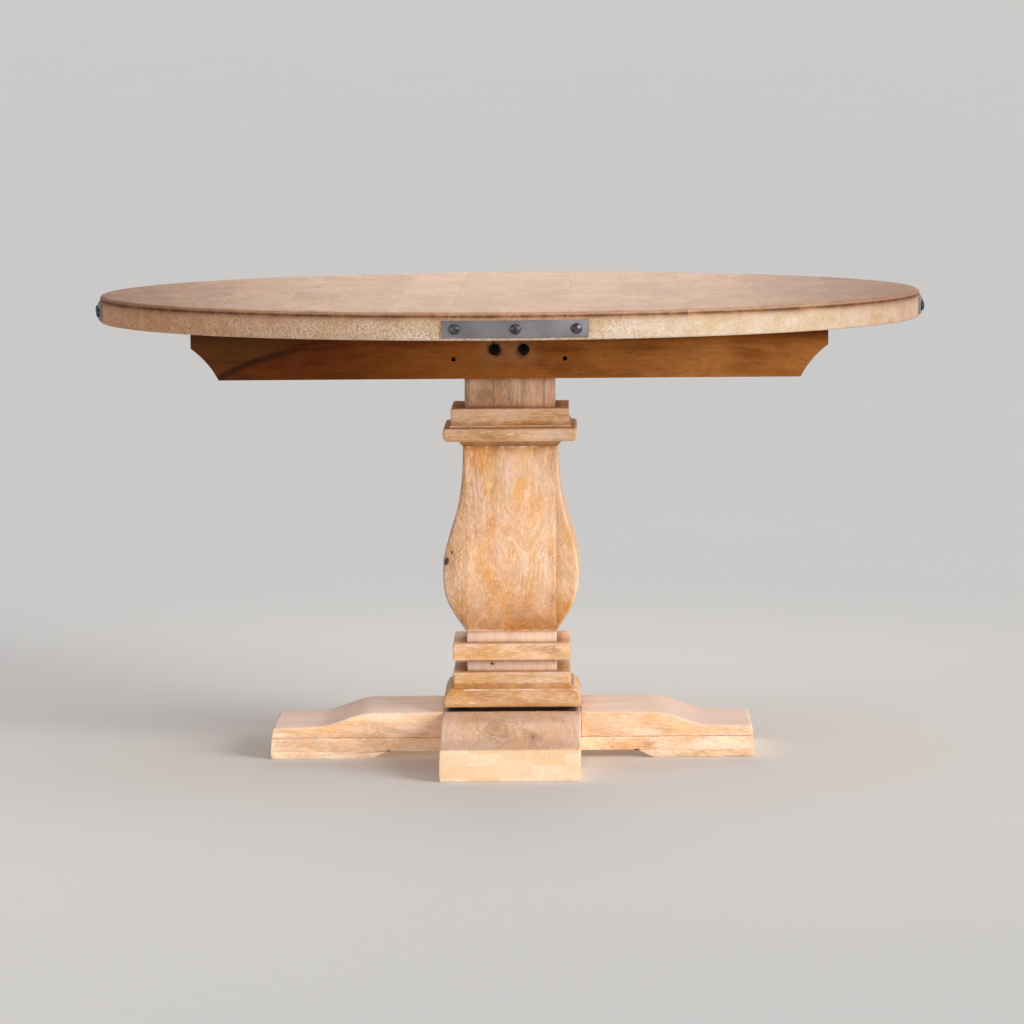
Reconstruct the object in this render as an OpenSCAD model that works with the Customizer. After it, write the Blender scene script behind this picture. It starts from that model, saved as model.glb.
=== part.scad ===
// Round pedestal dining table: a glued board top on two bearers, carried by a square
// baluster column on a cross of two laminated foot beams. Millimetres, +Z up, origin on
// the floor under the middle of the top. The front of the table faces -Y.

/* [Top] */
// Height of the top face above the floor
table_h = 774; // [740:1:790]
// Diameter of the round top
top_d = 1370; // [1240:10:1500]
// Thickness of the top boards
top_t = 44; // [38:1:50]
// Width of the broken upper arris
arris = 4; // [2:0.5:8]
// Width of the broken lower arris
lower_arris = 2.5; // [1:0.5:5]

/* [Edge plates] */
// Length of each steel plate, along the rim
plate_l = 230; // [180:1:280]
// Height of the plate
plate_h = 27; // [20:1:30]
// Thickness of the plate
plate_t = 3; // [2:0.5:4]
// Diameter of the domed stud heads
stud_d = 17; // [12:0.5:20]
// Spacing of the studs, along the rim
stud_pitch = 95; // [70:1:110]
// Turn of the four plates about the middle of the top, in degrees
plate_turn = 1.5; // [-2:0.1:2]

/* [Bearers] */
// Length of each bearer
bearer_l = 1056; // [900:2:1150]
// Height of each bearer
bearer_h = 96; // [85:1:100]
// Thickness of each bearer
bearer_t = 40; // [30:1:50]
// Thickness of the two blocks beside the column head
block_t = 35; // [28:1:45]
// Radius of the hollow cut at the bearer ends
bearer_cove_r = 150; // [130:5:200]

/* [Column] */
// Width of the square core post
core_w = 150; // [140:1:160]
// Half width of the baluster at its neck
neck_w = 79.3; // [78:0.1:84]
// Half width of the baluster at its belly
belly_w = 113; // [100:0.5:120]
// Half width of the cap moulding and of the plinth band
band_w = 98; // [92:0.5:104]
// Half width of the collar's half-round
collar_w = 111.5; // [106:0.5:118]
// Half width of the plinth block
block_w = 114.5; // [108:0.5:114.5]

/* [Feet] */
// Reach of each foot from the middle of the table
foot_reach = 404; // [370:1:440]
// Width of the foot beams
beam_w = 229; // [229:1:250]
// Height of the beams under the column
beam_h = 77.5; // [72:0.5:95]
// Height of the beams near their ends
toe_h = 54.5; // [48:0.5:62]
// Thickness of the pads under the beam ends
pad_h = 13; // [10:1:20]
// Thickness of the lower lamination
lower_lam_h = 22.5; // [18:0.5:26]

/* [Hidden] */
$fn = 96;
SIDES = ["front", "right", "rear", "left"];

top_r = top_d / 2;
under_z = table_h - top_t;
// Glue lines between the top boards, as shares of the top's radius.
SEAMS = [-1, -0.82, -0.67, -0.52, -0.39, -0.26, -0.125, 0.015, 0.145, 0.27, 0.42, 0.59, 0.78, 1];
BOARDS = len(SEAMS) - 1;
disc_sides = 720;
slack = 1;

plate_z = under_z + 18;
stud_h = 6;
stud_shank_r = 3;
stud_shank_l = 28;
stud_step = stud_pitch / top_r * 180 / PI;
plate_span = plate_l / (top_r + plate_t) * 180 / PI;

bearer_z = under_z - bearer_h;
core_r = core_w / 2;
bearer_face = core_r + bearer_t;
cove_top_z = bearer_z + 53;
cove_inset = 46;

// Fixings of the bearers: two bolts through the column head, four countersunk block
// screws and twelve screws up into the top.
bolt_x = 24.5;
bolt_z = bearer_z + 48;
bolt_r = 4;
bolt_head_d = 18.5;
bolt_head_h = 5;
clearance = 0.5;
socket_af = 5;
nut_af = 13;
nut_h = 8;
nut_flange_d = 18;
nut_flange_h = 1.8;
bolt_tail = 12;
block_screw_x = core_r + block_t / 2;
block_screw_z = bearer_z + 32.5;
block_screw_r = 2.2;
block_screw_l = 56;
block_screw_head_r = 3.5;
block_screw_sink = 12;
screw_head_h = 3;
top_screw_x = [-430, -275, -150, 150, 275, 430];
top_screw_r = 2.5;
top_screw_head_r = 5;
top_screw_sink = 56;
top_screw_l = 66;

// Heights of the column's stages, counted down from the bearers and up from the feet.
cap_top_z = bearer_z - 51;
cap_h = 32;
collar_h = 31.5;
collar_z = cap_top_z - cap_h - collar_h;
plinth_z = beam_h + 8;
plinth_h = 56.5;
recess_h = 20;
band_z = plinth_z + plinth_h + recess_h;
band_h = 28;
vase_z = band_z + band_h + 18.5;
belly_z = vase_z + 101;

lam_z = pad_h + lower_lam_h;
tenon_w = 80;
tenon_l = 20;
rod_at = 52;
rod_r = 4;
rod_bottom_z = 2;
rod_grip = 90;
ogee_in = 234;
ogee_out = 330;
toe_drop = 2.5;
end_rake = 4;
pad_tip_in = foot_reach - 202;
pad_heel_in = foot_reach - 164;
curve_steps = 16;

function two_digits(i) = i < 10 ? str("0", i) : str(i);
function board_name(i) = str("top_board_", two_digits(i + 1));

function cubic(p, t) = pow(1 - t, 3) * p[0] + 3 * pow(1 - t, 2) * t * p[1]
    + 3 * (1 - t) * t * t * p[2] + pow(t, 3) * p[3];
function ease(t) = t * t * (3 - 2 * t);
function steps(a, b) = [for (i = [0 : curve_steps]) a + (b - a) * i / curve_steps];

// Baluster outline as [half width, height], from the neck down over the belly to the foot.
neck_curve = [
    [neck_w, collar_z], [neck_w, collar_z - 135], [belly_w, belly_z + 70], [belly_w, belly_z]
];
foot_curve = [
    [belly_w, belly_z], [belly_w, belly_z - 44], [core_r + 27, vase_z + 42], [core_r + 0.5, vase_z]
];
BALUSTER = concat(
    [for (t = steps(0, 1)) cubic(neck_curve, t)],
    [for (t = steps(0, 1)) if (t > 0) cubic(foot_curve, t)]
);

// Quarter of a circle as [x, y] points, from angle a to angle b.
function arc(cx, cy, r, a, b) =
    [for (t = steps(a, b)) [cx + r * cos(t), cy + r * sin(t)]];

// Turns a flat outline of [distance out, height] into a length of the front side.
module front_run(length) {
    rotate([90, 0, -90]) linear_extrude(height = length, center = true) children();
}

module on_side(i) {
    rotate(90 * i) children();
}

// A run of moulding on the front side, mitred to its neighbours.
module mitred_run(reach) {
    intersection() {
        front_run(2 * reach) children();
        linear_extrude(height = table_h) polygon([[0, 0], [-2 * reach, -2 * reach], [2 * reach, -2 * reach]]);
    }
}

// ---- top ----

module stud_places() {
    for (side = [0 : 3]) for (k = [-1 : 1])
        rotate(90 * side + plate_turn + k * stud_step)
            translate([0, -top_r, plate_z]) rotate([90, 0, 0]) children();
}

// The top as one disc, its arrises broken by two small facets each.
module top_disc() {
    rotate_extrude($fn = disc_sides) translate([0, under_z]) polygon([
        [0, 0],
        [top_r - lower_arris, 0], [top_r - lower_arris * 0.3, lower_arris * 0.3], [top_r, lower_arris],
        [top_r, top_t - arris], [top_r - arris * 0.3, top_t - arris * 0.3], [top_r - arris, top_t],
        [0, top_t]
    ]);
}

module top_board(i) {
    x_low = SEAMS[i] * top_r - (i == 0 ? slack : 0);
    x_high = SEAMS[i + 1] * top_r + (i == BOARDS - 1 ? slack : 0);
    color("burlywood") difference() {
        intersection() {
            top_disc();
            translate([x_low, -top_r - slack, under_z - slack])
                cube([x_high - x_low, top_d + 2 * slack, top_t + 2 * slack]);
        }
        stud_places() translate([0, 0, -stud_shank_l]) cylinder(r = stud_shank_r, h = stud_shank_l + slack);
        top_screw_places() cylinder(r = top_screw_r, h = top_screw_l);
    }
}

module edge_plate() {
    color("slategray") difference() {
        rotate(plate_turn - 90 - plate_span / 2) rotate_extrude(angle = plate_span, $fn = disc_sides)
            translate([top_r, plate_z - plate_h / 2]) square([plate_t, plate_h]);
        stud_places() cylinder(r = stud_shank_r, h = 2 * plate_t, center = true);
        stud_places() cylinder(r = stud_shank_r, h = 2 * plate_t);
    }
}

// Domed head of diameter d and height h, its flat side at the origin.
module round_head(d, h) {
    ball_r = (d * d / 4 + h * h) / (2 * h);
    intersection() {
        translate([0, 0, h - ball_r]) sphere(ball_r);
        cylinder(d = d, h = h);
    }
}

module edge_studs() {
    color("dimgray") stud_places() {
        translate([0, 0, plate_t]) round_head(stud_d, stud_h);
        translate([0, 0, -stud_shank_l]) cylinder(r = stud_shank_r, h = stud_shank_l + plate_t);
    }
}

// ---- bearers under the top ----

module head_bolt_places() {
    for (x = [-bolt_x, bolt_x]) translate([x, 0, bolt_z]) rotate([90, 0, 0]) children();
}

module block_screw_places() {
    for (side = [0, 2]) for (x = [-block_screw_x, block_screw_x])
        rotate(90 * side) translate([x, -bearer_face, block_screw_z]) rotate([-90, 0, 0]) children();
}

module top_screw_places() {
    for (side = [0, 2]) for (x = top_screw_x)
        rotate(90 * side) translate([x, -core_r - bearer_t / 2, bearer_z + top_screw_sink]) children();
}

module bearer_end_cove() {
    tip = [bearer_l / 2, cove_top_z];
    heel = [bearer_l / 2 - cove_inset, bearer_z];
    half = norm(tip - heel) / 2;
    out = [tip[1] - heel[1], heel[0] - tip[0]] / (2 * half);
    centre = (tip + heel) / 2 + out * sqrt(bearer_cove_r * bearer_cove_r - half * half);
    translate([centre[0], 0, centre[1]]) rotate([90, 0, 0])
        cylinder(r = bearer_cove_r, h = 4 * bearer_face, center = true, $fn = 180);
}

module bearer() {
    color("sienna") difference() {
        translate([-bearer_l / 2, -bearer_face, bearer_z]) cube([bearer_l, bearer_t, bearer_h]);
        bearer_end_cove();
        mirror([1, 0, 0]) bearer_end_cove();
        head_bolt_places() cylinder(r = bolt_r + clearance, h = 4 * bearer_face, center = true);
        block_screw_places() {
            translate([0, 0, -slack]) cylinder(r = block_screw_head_r + 0.3, h = block_screw_sink + slack);
            cylinder(r = block_screw_r, h = block_screw_sink + block_screw_l);
        }
        top_screw_places() {
            translate([0, 0, -top_screw_sink - slack])
                cylinder(r = top_screw_head_r + 1, h = top_screw_sink + slack);
            cylinder(r = top_screw_r, h = top_screw_l);
        }
    }
}

module head_block() {
    color("sienna") difference() {
        translate([core_r, -core_r, bearer_z]) cube([block_t, core_w, bearer_h]);
        block_screw_places() cylinder(r = block_screw_r, h = block_screw_sink + block_screw_l);
    }
}

module hex_socket(depth) {
    cylinder(d = socket_af / cos(30), h = depth, $fn = 6);
}

module head_bolts() {
    color("black") head_bolt_places() difference() {
        union() {
            translate([0, 0, bearer_face]) round_head(bolt_head_d, bolt_head_h);
            translate([0, 0, -bearer_face - bolt_tail]) cylinder(r = bolt_r, h = 2 * bearer_face + bolt_tail);
        }
        translate([0, 0, bearer_face + 2]) hex_socket(bolt_head_h);
    }
}

// Hexagon nut with a washer flange, its flange down at the origin.
module flange_nut(bore_r) {
    difference() {
        union() {
            cylinder(d = nut_flange_d, h = nut_flange_h);
            cylinder(d = nut_af / cos(30), h = nut_h, $fn = 6);
        }
        translate([0, 0, -slack]) cylinder(r = bore_r, h = nut_h + 2 * slack);
    }
}

module head_nuts() {
    color("black") head_bolt_places() translate([0, 0, -bearer_face]) mirror([0, 0, 1]) flange_nut(bolt_r);
}

module block_screws() {
    color("dimgray") block_screw_places() {
        translate([0, 0, block_screw_sink - screw_head_h]) cylinder(r = block_screw_head_r, h = screw_head_h);
        translate([0, 0, block_screw_sink]) cylinder(r = block_screw_r, h = block_screw_l);
    }
}

module top_screws() {
    color("dimgray") top_screw_places() {
        translate([0, 0, -screw_head_h]) cylinder(r = top_screw_head_r, h = screw_head_h);
        cylinder(r = top_screw_r, h = top_screw_l);
    }
}

// ---- column ----

module rod_places() {
    for (x = [-rod_at, rod_at]) for (y = [-rod_at, rod_at]) translate([x, y, 0]) children();
}

module column_core() {
    color("peru") difference() {
        union() {
            translate([-core_r, -core_r, beam_h]) cube([core_w, core_w, under_z - beam_h]);
            translate([-tenon_w / 2, -tenon_w / 2, beam_h - tenon_l]) cube([tenon_w, tenon_w, tenon_l]);
        }
        head_bolt_places() cylinder(r = bolt_r + clearance, h = 2 * core_w, center = true);
        rod_places() cylinder(r = rod_r, h = beam_h + rod_grip);
    }
}

// The front and rear cheeks are as wide as the core, and the side cheeks close the corners.
module baluster_cheek(i) {
    outline = concat([[core_r, collar_z]], BALUSTER, [[core_r, vase_z]]);
    mirrored = [for (k = [len(BALUSTER) - 1 : -1 : 0]) [-BALUSTER[k][0], BALUSTER[k][1]]];
    color("sandybrown") if (i % 2 == 0) {
        on_side(i) front_run(core_w) polygon(outline);
    } else {
        intersection() {
            on_side(i) front_run(3 * belly_w) polygon(outline);
            rotate([90, 0, 90]) linear_extrude(height = 3 * belly_w, center = true)
                polygon(concat(BALUSTER, mirrored));
        }
    }
}

// Flat fascia that flares over a small cove to a fillet.
module cap_moulding() {
    z = cap_top_z - cap_h;
    color("burlywood") mitred_run(band_w + 4) polygon(concat(
        [[core_r, z], [band_w + 3, z], [band_w + 3, z + 4]],
        arc(band_w + 3, z + 8, 4, 270, 180),
        [[band_w - 1, cap_top_z - 2], [band_w - 3, cap_top_z], [core_r, cap_top_z]]
    ));
}

// Half-round over a small cove that dies onto the baluster's neck.
module collar_moulding() {
    bead_h = collar_h - 9;
    bead_r = bead_h / 2;
    bead_z = collar_z + 9;
    swell = 5.5;
    color("peru") mitred_run(collar_w + 1) polygon(concat(
        [[core_r, collar_z], [neck_w + 0.7, collar_z], [neck_w + 2, collar_z + 2]],
        arc(neck_w + 12, collar_z, 9, 160, 95),
        [for (a = steps(-90, 90)) [collar_w - swell + swell * cos(a), bead_z + bead_r + bead_r * sin(a)]],
        [[core_r, collar_z + collar_h]]
    ));
}

module plinth_band() {
    ease_r = 2;
    color("burlywood") mitred_run(band_w + 1) polygon(concat(
        [[core_r, band_z]],
        arc(band_w - ease_r, band_z + ease_r, ease_r, 270, 360),
        arc(band_w - ease_r, band_z + band_h - ease_r, ease_r, 0, 90),
        [[core_r, band_z + band_h]]
    ));
}

// Plain fascia with a small cove at its foot, over a block whose upper edge is hollowed.
module plinth_moulding() {
    block_h = 26.5;
    ledge_w = block_w - 7;
    color("peru") mitred_run(block_w + 1) polygon(concat(
        [[core_r, plinth_z], [block_w - 1.5, plinth_z], [block_w, plinth_z + 1.5], [block_w, plinth_z + 9]],
        [for (t = steps(0, 1)) [block_w - (block_w - ledge_w) * ease(t), plinth_z + 9 + (block_h - 9) * t]],
        [[band_w + 5, plinth_z + block_h], [band_w + 5, plinth_z + block_h + 3]],
        arc(band_w + 6, plinth_z + block_h + 9, 6, 260, 180),
        [[band_w, plinth_z + plinth_h - 2], [band_w - 2, plinth_z + plinth_h], [core_r, plinth_z + plinth_h]]
    ));
}

// ---- feet ----

function beam_end(z) = foot_reach - end_rake * z / toe_h;
function beam_top(r) = r <= ogee_in ? beam_h
    : r >= ogee_out ? toe_h - toe_drop * (r - ogee_out) / (foot_reach - ogee_out)
    : beam_h + (toe_h - beam_h) * ease((r - ogee_in) / (ogee_out - ogee_in));

// Upper lamination of one foot from radius a to the end, with its ogee.
module upper_lamination_outline(a) {
    tip = beam_end(toe_h);
    polygon(concat(
        [[a, lam_z], [beam_end(lam_z), lam_z], [tip, beam_top(tip) - 3], [tip - 3, beam_top(tip)]],
        [for (r = steps(ogee_out, ogee_in)) [r, beam_top(r)]],
        [[a, beam_h]]
    ));
}

module lower_lamination_outline(a) {
    polygon([[a, pad_h], [beam_end(pad_h), pad_h], [beam_end(lam_z), lam_z], [a, lam_z]]);
}

// Cuts for the rods, shared by every lamination they pass.
module rod_clearance() {
    rod_places() cylinder(r = rod_r + clearance, h = beam_h + slack);
}

module cross_beam_lower() {
    color("wheat") difference() {
        union() {
            on_side(1) front_run(beam_w) lower_lamination_outline(0);
            on_side(3) front_run(beam_w) lower_lamination_outline(0);
        }
        rod_clearance();
    }
}

module long_beam_upper() {
    color("burlywood") difference() {
        union() {
            on_side(0) front_run(beam_w) upper_lamination_outline(0);
            on_side(2) front_run(beam_w) upper_lamination_outline(0);
        }
        rod_clearance();
        translate([-tenon_w / 2, -tenon_w / 2, beam_h - tenon_l]) cube([tenon_w, tenon_w, tenon_l + slack]);
    }
}

module cross_beam_upper() {
    color("burlywood") front_run(beam_w) upper_lamination_outline(beam_w / 2);
}

module long_beam_lower() {
    color("wheat") front_run(beam_w) lower_lamination_outline(beam_w / 2);
}

module foot_pad() {
    color("wheat") front_run(beam_w) polygon(concat(
        [[beam_end(0) - 2, 0], [beam_end(2), 2], [beam_end(pad_h), pad_h]],
        [for (t = steps(0, 1)) [pad_tip_in + (pad_heel_in - pad_tip_in) * t, pad_h * (1 - ease(t))]]
    ));
}

module foot_rods() {
    color("silver") rod_places() translate([0, 0, rod_bottom_z])
        cylinder(r = rod_r, h = beam_h + rod_grip - rod_bottom_z);
}

module foot_nuts() {
    color("silver") rod_places() translate([0, 0, pad_h]) mirror([0, 0, 1]) flange_nut(rod_r);
}

// ---- nodes ----

for (i = [0 : BOARDS - 1]) top_board(i);
edge_studs();
bearer();  // bearer_front
rotate(180) bearer();  // bearer_rear
mirror([1, 0, 0]) head_block();  // head_block_left
head_block();  // head_block_right
head_bolts();
head_nuts();
block_screws();
top_screws();
column_core();
for (i = [0 : 3]) {
    on_side(i) edge_plate();
    baluster_cheek(i);
    on_side(i) cap_moulding();
    on_side(i) collar_moulding();
    on_side(i) plinth_band();
    on_side(i) plinth_moulding();
    on_side(i) foot_pad();
}
cross_beam_lower();
on_side(3) cross_beam_upper();  // cross_beam_upper_left
on_side(1) cross_beam_upper();  // cross_beam_upper_right
long_beam_upper();
on_side(0) long_beam_lower();  // long_beam_lower_front
on_side(2) long_beam_lower();  // long_beam_lower_rear
foot_rods();
foot_nuts();
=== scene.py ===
"""Looks of the round pedestal table: limed mango wood, blue-grey steel plates, dark studs."""
import math

import bmesh
import bpy
import numpy as np
from mathutils import Euler, Matrix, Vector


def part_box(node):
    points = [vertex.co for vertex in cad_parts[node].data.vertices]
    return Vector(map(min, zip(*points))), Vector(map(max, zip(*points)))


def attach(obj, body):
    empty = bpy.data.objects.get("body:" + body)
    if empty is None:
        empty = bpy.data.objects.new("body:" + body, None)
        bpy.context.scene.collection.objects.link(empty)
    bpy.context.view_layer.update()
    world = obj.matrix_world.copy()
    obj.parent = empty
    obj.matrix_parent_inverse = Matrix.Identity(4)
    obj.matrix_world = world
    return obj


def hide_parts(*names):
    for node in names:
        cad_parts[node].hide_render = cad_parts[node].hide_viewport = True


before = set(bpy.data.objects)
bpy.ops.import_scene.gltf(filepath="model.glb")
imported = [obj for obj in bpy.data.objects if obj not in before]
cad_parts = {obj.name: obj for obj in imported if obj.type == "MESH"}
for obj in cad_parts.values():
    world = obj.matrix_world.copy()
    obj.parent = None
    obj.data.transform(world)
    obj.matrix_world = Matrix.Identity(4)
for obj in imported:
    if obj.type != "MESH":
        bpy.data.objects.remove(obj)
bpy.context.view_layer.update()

MM = 0.001
SIDES = ("front", "right", "rear", "left")


def corners(node):
    """Lowest and highest corner of a CAD node as two arrays."""
    low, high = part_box(node)
    return np.array(low), np.array(high)


def span(node, axis=2):
    """Lowest and highest place of a CAD node along one axis, upwards if none is named."""
    low, high = corners(node)
    return low[axis], high[axis]


def front_of(node):
    """How far forward a CAD node comes."""
    return -corners(node)[0][1]


def quads(rows, columns, wrap):
    """Faces over a grid of points; wrap joins the last column to the first."""
    index = np.arange(rows * columns).reshape(rows, columns)
    if wrap:
        index = np.concatenate([index, index[:, :1]], axis=1)
    return np.stack([index[:-1, :-1], index[:-1, 1:], index[1:, 1:], index[1:, :-1]], -1).reshape(-1, 4)


def placed(name, data):
    """A new object in the scene with this mesh, light or lens."""
    made = bpy.data.objects.new(name, data)
    bpy.context.scene.collection.objects.link(made)
    return made


# ---------------------------------------------------------------- driving sizes

BOARD_NAMES = sorted(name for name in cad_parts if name.startswith("top_board_"))
middle_low, middle_high = corners(BOARD_NAMES[len(BOARD_NAMES) // 2])
TOP_R = middle_high[1]
TOP_LOW, TOP_HIGH = middle_low[2], middle_high[2]
CORE_HALF = corners("column_core")[1][0]
BELLY = corners("baluster_cheek_right")[1][0]
VASE_LOW, VASE_HIGH = span("baluster_cheek_front")
BEAM_HALF = corners("foot_pad_front")[1][0]
REACH = corners("cross_beam_lower")[1][0]
PAD_TOP = corners("foot_pad_front")[1][2]
LAM_TOP = corners("cross_beam_lower")[1][2]
BEAM_TOP = corners("long_beam_upper")[1][2]
plate_low, plate_high = corners("edge_plate_front")
PLATE_LOW, PLATE_HIGH = plate_low[2], plate_high[2]
PLATE_T = -plate_low[1] - TOP_R
PLATE_HALF = math.asin((plate_high[0] - plate_low[0]) / 2 / (TOP_R + PLATE_T))
plate_middle = (plate_high[0] + plate_low[0]) / 2
PLATE_TURN = math.asin(plate_middle / (TOP_R + PLATE_T) / math.cos(PLATE_HALF))
STUD_PITCH = 95 * MM
STUD_R = 8.4 * MM
STUD_RISE = front_of("edge_studs") - TOP_R - PLATE_T - 0.1 * MM
COLLAR_LOW = span("collar_moulding_front")[0]
NECK = 79.3 * MM
BELLY_UP = 101 * MM
TOE_TOP = 54.5 * MM
TOE_DROP = 2.5 * MM
OGEE_IN, OGEE_OUT = 234 * MM, 330 * MM
PAD_HEEL = corners("foot_pad_front")[1][1]
PAD_RISE = 38 * MM


# ---------------------------------------------------------------- surfaces

class Shell:
    """Gathers the sheets of one piece and joins them where their points meet."""

    def __init__(self):
        self.points = []
        self.wear_and_painted_light = []
        self.faces = []
        self.count = 0

    def _keep(self, points, wear_and_painted_light):
        points = np.asarray(points, float)
        self.points.append(points.reshape(-1, 3))
        self.wear_and_painted_light.append(np.broadcast_to(np.asarray(wear_and_painted_light, float), points.shape[:-1]).reshape(-1))
        start = self.count
        self.count += len(self.points[-1])
        return start

    def sheet(self, points, wear_and_painted_light=0.0, wrap=False):
        """Quads over rows and columns of points; wrap joins the last column to the first."""
        corner = quads(*np.shape(points)[:2], wrap) + self._keep(points, wear_and_painted_light)
        self.faces.extend(corner.tolist())

    def lid(self, outline, wear_and_painted_light=0.0):
        """One flat face on a closed outline."""
        start = self._keep(outline, wear_and_painted_light)
        self.faces.append(list(range(start, self.count)))

    def piece(self, name, replaced, material, sharp=40):
        """Makes the object, with its faces outwards and its seams closed."""
        mesh = bpy.data.meshes.new(name)
        mesh.from_pydata(hand_cut(np.concatenate(self.points)), [], self.faces)
        # This attribute holds wear and painted light: above nought edges rubbed pale, partly a painted
        # highlight; below nought dirt, dark joints and painted shade in creases.
        painted_light_and_wear = mesh.attributes.new("wear_and_painted_light", "FLOAT", "POINT")
        painted_light_and_wear.data.foreach_set("value", np.concatenate(self.wear_and_painted_light).astype(np.float32))
        work = bmesh.new()
        work.from_mesh(mesh)
        bmesh.ops.remove_doubles(work, verts=work.verts, dist=2e-6)
        bmesh.ops.dissolve_degenerate(work, edges=work.edges, dist=1e-7)
        bmesh.ops.recalc_face_normals(work, faces=work.faces)
        work.to_mesh(mesh)
        work.free()
        return dressed(name, mesh, replaced, material, sharp)


def dressed(name, mesh, replaced, material, sharp):
    """An object on the mesh, shaded smooth up to the given angle, riding on the table."""
    mesh.shade_smooth()
    mesh.set_sharp_from_angle(angle=math.radians(sharp))
    mesh.materials.append(material)
    made = placed(name, mesh)
    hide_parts(*replaced)
    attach(made, "root")
    return made


def hand_cut(points, depth=0.45 * MM):
    """Slow sine waves in three directions, so that no edge is dead straight; none at floor and top."""
    x, y, z = points.T
    hold = np.clip(z / (60 * MM), 0, 1) * np.clip((TOP_LOW - z) / (20 * MM), 0, 1)
    moved = points.copy()
    moved[:, 0] += depth * hold * np.sin(17 * z + 9 * y + 1.3) * np.cos(7 * x)
    moved[:, 1] += depth * hold * np.sin(14 * x + 11 * z + 0.4)
    moved[:, 2] += depth * hold * np.sin(13 * x + 6 * y + 2.1) * np.cos(8 * z)
    return moved


def grained(made, along, shift, tone=0.0, number=0.0):
    """Stores where each point lies in the plank: along, across and through its grain, in metres,
    and for each face how far it looks upwards."""
    order = {"x": (0, 1, 2), "y": (1, 0, 2), "z": (2, 0, 1)}[along]
    count = len(made.data.vertices)
    flat = np.zeros(count * 3, np.float32)
    made.data.vertices.foreach_get("co", flat)
    place = flat.reshape(-1, 3)[:, order] + np.array(shift, np.float32)
    grain = made.data.attributes.new("grain", "FLOAT_VECTOR", "POINT")
    grain.data.foreach_set("vector", place.astype(np.float32).ravel())
    for title, value in (("tone", tone), ("number", number)):
        made.data.attributes.new(title, "FLOAT", "POINT").data.foreach_set(
            "value", np.full(count, value, np.float32))
    faces = len(made.data.polygons)
    normal = np.zeros(faces * 3, np.float32)
    made.data.polygons.foreach_get("normal", normal)
    facing = made.data.attributes.new("upward", "FLOAT", "FACE")
    facing.data.foreach_set("value", np.clip(normal.reshape(-1, 3)[:, 2], 0, 1))
    return made


def plank_shift(seed):
    """A repeatable place for a piece in its log: far along it, and near its heart."""
    draw = np.random.default_rng(seed)
    angle = draw.uniform(0, 2 * math.pi)
    away = draw.uniform(35, 110) * MM
    return (draw.uniform(3, 60), away * math.cos(angle), away * math.sin(angle))


def turned(points, side):
    """Points made for the front side, turned about the column to the side with this number."""
    angle = side * math.pi / 2
    cos, sin = math.cos(angle), math.sin(angle)
    return np.asarray(points) @ np.array([[cos, sin, 0], [-sin, cos, 0], [0, 0, 1]])


def fillet(points, radii, steps=6):
    """A closed outline with each corner cut by an arc that touches both of its sides."""
    points = np.asarray(points, float)
    radii = np.broadcast_to(np.asarray(radii, float), len(points))
    rounded = []
    for corner, before, after, radius in zip(points, np.roll(points, 1, 0), np.roll(points, -1, 0), radii):
        to_before = (before - corner) / np.linalg.norm(before - corner)
        to_after = (after - corner) / np.linalg.norm(after - corner)
        half = math.acos(np.clip(to_before @ to_after, -1, 1)) / 2
        if radius <= 0 or half > math.radians(88):
            rounded.append(corner[None])
            continue
        reach = radius / math.tan(half)
        middle = (to_before + to_after) / np.linalg.norm(to_before + to_after)
        centre = corner + middle * radius / math.sin(half)
        first, last = corner + to_before * reach - centre, corner + to_after * reach - centre
        sweep = math.atan2(first[0] * last[1] - first[1] * last[0], first @ last)
        turn = np.linspace(0, sweep, steps)
        rounded.append(centre + np.stack([
            first[0] * np.cos(turn) - first[1] * np.sin(turn),
            first[0] * np.sin(turn) + first[1] * np.cos(turn)], axis=1))
    return np.concatenate(rounded)


def outward(outline):
    """Mitred outward normals of a closed outline that runs anticlockwise."""
    side = np.roll(outline, -1, 0) - outline
    side = side / np.maximum(np.linalg.norm(side, axis=1, keepdims=True), 1e-9)
    normal = np.stack([side[:, 1], -side[:, 0]], axis=1)
    before = np.roll(normal, 1, 0)
    both = normal + before
    return both / np.maximum(1 + (normal * before).sum(1, keepdims=True), 0.3)


def planed_bar(shell, outline, half, arris, place, rubbed, steps=5):
    """A bar with this outline and length 2 * half; at both ends the outline draws in along a
    quarter circle whose radius is given for each point of the outline, as is the wear there."""
    arris = np.broadcast_to(np.asarray(arris, float), len(outline))
    turn = np.linspace(0, math.pi / 2, steps)[:, None]
    inset = arris * (1 - np.cos(turn))
    depth = half - arris * (1 - np.sin(turn))
    ring = outline[None] - outward(outline)[None] * inset[..., None]
    near = np.concatenate([ring, -depth[..., None]], axis=-1)[::-1]
    far = np.concatenate([ring, depth[..., None]], axis=-1)
    between = np.linspace(0, 1, 9)[1:-1, None, None] * (far[:1] - near[-1:]) + near[-1:]
    painted_light_and_wear = np.concatenate([np.sin(2 * turn[::-1, 0]), np.zeros(7), np.sin(2 * turn[:, 0])])
    painted_light_and_wear = painted_light_and_wear[:, None] * np.asarray(rubbed)
    shell.sheet(place(np.concatenate([near, between, far])), wear_and_painted_light=painted_light_and_wear, wrap=True)
    shell.lid(place(near[0]))
    shell.lid(place(far[-1]))


# ---------------------------------------------------------------- top boards

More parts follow.
